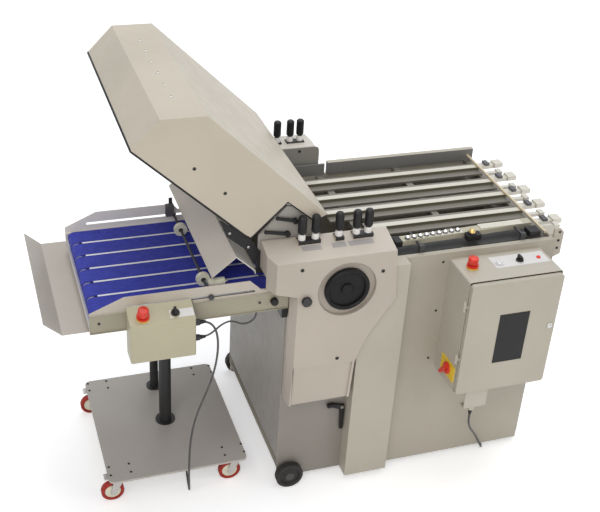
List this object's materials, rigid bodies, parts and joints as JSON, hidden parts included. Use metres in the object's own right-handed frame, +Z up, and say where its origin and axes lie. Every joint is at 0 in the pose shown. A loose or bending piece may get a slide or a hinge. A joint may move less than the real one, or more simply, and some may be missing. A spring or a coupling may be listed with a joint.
{
  "type": "paper folding machine",
  "caption": "Floor-standing buckle-plate paper folding machine with a register table, a belt delivery conveyor on a caster trolley, a side electric box and roller gap knobs.",
  "frame": {"origin": "centre of the machine's outer box, on the floor", "axes": "+X along the machine from the delivery tray to the register table, +Y away from the operator, +Z up"},
  "size_m": [1.824, 1.024, 1.44],
  "materials": {
    "hood_paint": "satin light beige-grey paint",
    "panel_paint": "satin warm grey paint",
    "dark_paint": "satin dark grey paint",
    "cover_paint": "satin grey painted moulding",
    "bright_steel": "brushed bright sheet",
    "machined_steel": "ground steel",
    "zinc_steel": "zinc plated pressed steel",
    "chrome_trim": "polished chrome",
    "black_plastic": "matt black moulding",
    "red_plastic": "glossy red moulding",
    "belt_rubber": "blue belt cover",
    "caster_tread": "dark red tread",
    "wheel_rubber": "black solid tyre",
    "cable_rubber": "black cable sheath",
    "clear_guard": "satin beige paint"
  },
  "bodies": {
    "frame": {"main_frame": "panel_paint", "near_side_panel": "panel_paint", "cabinet_wrap": "dark_paint", "pillar_cover": "panel_paint", "near_housing_cover": "cover_paint", "far_housing_cover": "cover_paint", "electric_box": "panel_paint", "register_table": "bright_steel", "exit_guard": "clear_guard", "fold_plate": "machined_steel", "conveyor_near_rail": "hood_paint", "conveyor_far_rail": "hood_paint", "slider_bed": "bright_steel", "catch_tray": "hood_paint", "control_box": "panel_paint", "stand_base": "panel_paint", "conveyor_belts": "belt_rubber", "control_cable": "cable_rubber", "control_cable_coil": "cable_rubber", "control_cable_plug": "black_plastic", "link_cable": "cable_rubber", "mains_cable": "cable_rubber", "mains_cable_coil": "cable_rubber", "mains_cable_plug": "black_plastic"},
    "hood": {"hood": "hood_paint"},
    "handwheel": {"handwheel": "black_plastic", "fold_roller_1": "machined_steel"},
    "fold_roller_2": {"fold_roller_2": "machined_steel"},
    "fold_roller_3": {"fold_roller_3": "machined_steel"},
    "near_gap_knob_1": {"near_gap_knob_1": "black_plastic"},
    "near_gap_knob_2": {"near_gap_knob_2": "black_plastic"},
    "near_gap_knob_3": {"near_gap_knob_3": "black_plastic"},
    "near_gap_knob_4": {"near_gap_knob_4": "black_plastic"},
    "near_gap_knob_5": {"near_gap_knob_5": "black_plastic"},
    "far_gap_knob_1": {"far_gap_knob_1": "black_plastic"},
    "far_gap_knob_2": {"far_gap_knob_2": "black_plastic"},
    "far_gap_knob_3": {"far_gap_knob_3": "black_plastic"},
    "upper_ball_lever": {"upper_ball_lever": "black_plastic"},
    "lower_ball_lever": {"lower_ball_lever": "black_plastic"},
    "floor_lever": {"floor_lever": "dark_paint"},
    "electric_box_door": {"electric_box_door": "panel_paint"},
    "box_stop_button": {"box_stop_button": "red_plastic"},
    "conveyor_stop_button": {"conveyor_stop_button": "red_plastic"},
    "start_button": {"start_button": "chrome_trim"},
    "speed_selector": {"speed_selector": "black_plastic"},
    "conveyor_speed_selector": {"conveyor_speed_selector": "black_plastic"},
    "main_switch_handle": {"main_switch_handle": "red_plastic"},
    "drive_roller": {"drive_roller": "machined_steel"},
    "end_roller": {"end_roller": "machined_steel"},
    "press_shaft": {"press_shaft": "chrome_trim"},
    "side_guide": {"side_guide": "bright_steel"},
    "caster_near_left": {"caster_fork_near_left": "zinc_steel"},
    "caster_wheel_near_left": {"caster_wheel_near_left": "caster_tread"},
    "caster_near_right": {"caster_fork_near_right": "zinc_steel"},
    "caster_wheel_near_right": {"caster_wheel_near_right": "caster_tread"},
    "caster_far_left": {"caster_fork_far_left": "zinc_steel"},
    "caster_wheel_far_left": {"caster_wheel_far_left": "caster_tread"},
    "caster_far_right": {"caster_fork_far_right": "zinc_steel"},
    "caster_wheel_far_right": {"caster_wheel_far_right": "caster_tread"},
    "main_wheels": {"main_wheels": "wheel_rubber"}
  },
  "joints": [
    {"name": "hood_hinge", "type": "hinge", "parent": "frame", "child": "hood", "pos_m": [-0.05, 0.112, 1.08], "axis": [0, 1, 0], "range_deg": [0, 50]},
    {"name": "handwheel_turn", "type": "hinge", "parent": "frame", "child": "handwheel", "pos_m": [0.033, 0, 0.848], "axis": [0, 1, 0], "continuous": true},
    {"name": "fold_roller_2_turn", "type": "hinge", "parent": "frame", "child": "fold_roller_2", "pos_m": [-0.0276, 0, 0.848], "axis": [0, 1, 0], "continuous": true},
    {"name": "fold_roller_3_turn", "type": "hinge", "parent": "frame", "child": "fold_roller_3", "pos_m": [-0.0276, 0, 0.9086], "axis": [0, 1, 0], "continuous": true},
    {"name": "near_gap_knob_1_turn", "type": "hinge", "parent": "frame", "child": "near_gap_knob_1", "pos_m": [-0.102, -0.306, 1.04], "axis": [0, 0, 1], "range_deg": [-360, 360]},
    {"name": "near_gap_knob_2_turn", "type": "hinge", "parent": "frame", "child": "near_gap_knob_2", "pos_m": [-0.057, -0.306, 1.04], "axis": [0, 0, 1], "range_deg": [-360, 360]},
    {"name": "near_gap_knob_3_turn", "type": "hinge", "parent": "frame", "child": "near_gap_knob_3", "pos_m": [0.022, -0.306, 1.04], "axis": [0, 0, 1], "range_deg": [-360, 360]},
    {"name": "near_gap_knob_4_turn", "type": "hinge", "parent": "frame", "child": "near_gap_knob_4", "pos_m": [0.082, -0.306, 1.04], "axis": [0, 0, 1], "range_deg": [-360, 360]},
    {"name": "near_gap_knob_5_turn", "type": "hinge", "parent": "frame", "child": "near_gap_knob_5", "pos_m": [0.122, -0.306, 1.04], "axis": [0, 0, 1], "range_deg": [-360, 360]},
    {"name": "far_gap_knob_1_turn", "type": "hinge", "parent": "frame", "child": "far_gap_knob_1", "pos_m": [0.027, 0.377, 1.048], "axis": [0, 0, 1], "range_deg": [-360, 360]},
    {"name": "far_gap_knob_2_turn", "type": "hinge", "parent": "frame", "child": "far_gap_knob_2", "pos_m": [0.077, 0.377, 1.048], "axis": [0, 0, 1], "range_deg": [-360, 360]},
    {"name": "far_gap_knob_3_turn", "type": "hinge", "parent": "frame", "child": "far_gap_knob_3", "pos_m": [0.115, 0.377, 1.048], "axis": [0, 0, 1], "range_deg": [-360, 360]},
    {"name": "upper_ball_lever_tilt", "type": "hinge", "parent": "frame", "child": "upper_ball_lever", "pos_m": [-0.12, -0.286, 1.06], "axis": [0, 1, 0], "range_deg": [-20, 20]},
    {"name": "lower_ball_lever_tilt", "type": "hinge", "parent": "frame", "child": "lower_ball_lever", "pos_m": [-0.143, -0.286, 1.016], "axis": [0, 1, 0], "range_deg": [-10, 15]},
    {"name": "floor_lever_tilt", "type": "hinge", "parent": "frame", "child": "floor_lever", "pos_m": [0.078, -0.334, 0.313], "axis": [0, 1, 0], "range_deg": [0, 25]},
    {"name": "door_hinge", "type": "hinge", "parent": "frame", "child": "electric_box_door", "pos_m": [0.408, -0.494, 0.656], "axis": [0, 0, -1], "range_deg": [0, 105]},
    {"name": "box_stop_press", "type": "slide", "parent": "frame", "child": "box_stop_button", "axis": [0, 0, 1], "range_m": [-0.005, 0], "stiffness_N_per_m": 1500},
    {"name": "conveyor_stop_press", "type": "slide", "parent": "frame", "child": "conveyor_stop_button", "axis": [0, -0.342, 0.9397], "range_m": [-0.005, 0], "stiffness_N_per_m": 1500},
    {"name": "start_press", "type": "slide", "parent": "frame", "child": "start_button", "axis": [0, 0, 1], "range_m": [-0.003, 0], "stiffness_N_per_m": 1500},
    {"name": "speed_selector_turn", "type": "hinge", "parent": "frame", "child": "speed_selector", "pos_m": [0.637, -0.41, 0.89], "axis": [0, 0, 1], "range_deg": [-135, 135]},
    {"name": "conveyor_speed_turn", "type": "hinge", "parent": "frame", "child": "conveyor_speed_selector", "pos_m": [-0.527, -0.394, 0.84674], "axis": [0, -0.342, 0.9397], "range_deg": [-135, 135]},
    {"name": "main_switch_turn", "type": "hinge", "parent": "frame", "child": "main_switch_handle", "pos_m": [0.405, -0.44, 0.501], "axis": [1, 0, 0], "range_deg": [0, 90]},
    {"name": "drive_roller_turn", "type": "hinge", "parent": "frame", "child": "drive_roller", "pos_m": [-0.198, -0.0775, 0.813], "axis": [0, 1, 0], "continuous": true},
    {"name": "end_roller_turn", "type": "hinge", "parent": "frame", "child": "end_roller", "pos_m": [-0.751, -0.0775, 0.813], "axis": [0, 1, 0], "continuous": true},
    {"name": "press_slide", "type": "slide", "parent": "frame", "child": "press_shaft", "axis": [1, 0, 0], "range_m": [-0.05, 0.13]},
    {"name": "side_guide_slide", "type": "slide", "parent": "frame", "child": "side_guide", "axis": [0, 1, 0], "range_m": [-0.03, 0.02]},
    {"name": "caster_swivel_near_left", "type": "hinge", "parent": "frame", "child": "caster_near_left", "pos_m": [-0.696, -0.253, 0.1], "axis": [0, 0, 1], "continuous": true},
    {"name": "caster_roll_near_left", "type": "hinge", "parent": "caster_near_left", "child": "caster_wheel_near_left", "pos_m": [-0.722, -0.253, 0.04], "axis": [0, 1, 0], "continuous": true},
    {"name": "caster_swivel_near_right", "type": "hinge", "parent": "frame", "child": "caster_near_right", "pos_m": [-0.277, -0.253, 0.1], "axis": [0, 0, 1], "continuous": true},
    {"name": "caster_roll_near_right", "type": "hinge", "parent": "caster_near_right", "child": "caster_wheel_near_right", "pos_m": [-0.303, -0.253, 0.04], "axis": [0, 1, 0], "continuous": true},
    {"name": "caster_swivel_far_left", "type": "hinge", "parent": "frame", "child": "caster_far_left", "pos_m": [-0.696, 0.232, 0.1], "axis": [0, 0, 1], "continuous": true},
    {"name": "caster_roll_far_left", "type": "hinge", "parent": "caster_far_left", "child": "caster_wheel_far_left", "pos_m": [-0.722, 0.232, 0.04], "axis": [0, 1, 0], "continuous": true},
    {"name": "caster_swivel_far_right", "type": "hinge", "parent": "frame", "child": "caster_far_right", "pos_m": [-0.277, 0.232, 0.1], "axis": [0, 0, 1], "continuous": true},
    {"name": "caster_roll_far_right", "type": "hinge", "parent": "caster_far_right", "child": "caster_wheel_far_right", "pos_m": [-0.303, 0.232, 0.04], "axis": [0, 1, 0], "continuous": true},
    {"name": "main_wheels_roll", "type": "hinge", "parent": "frame", "child": "main_wheels", "pos_m": [-0.107, 0, 0.05], "axis": [0, 1, 0], "continuous": true}
  ],
  "couplings": [
    {"joint": "fold_roller_2_turn", "follows": "handwheel_turn", "ratio": -1},
    {"joint": "fold_roller_3_turn", "follows": "handwheel_turn", "ratio": 1},
    {"joint": "end_roller_turn", "follows": "drive_roller_turn", "ratio": 1}
  ]
}
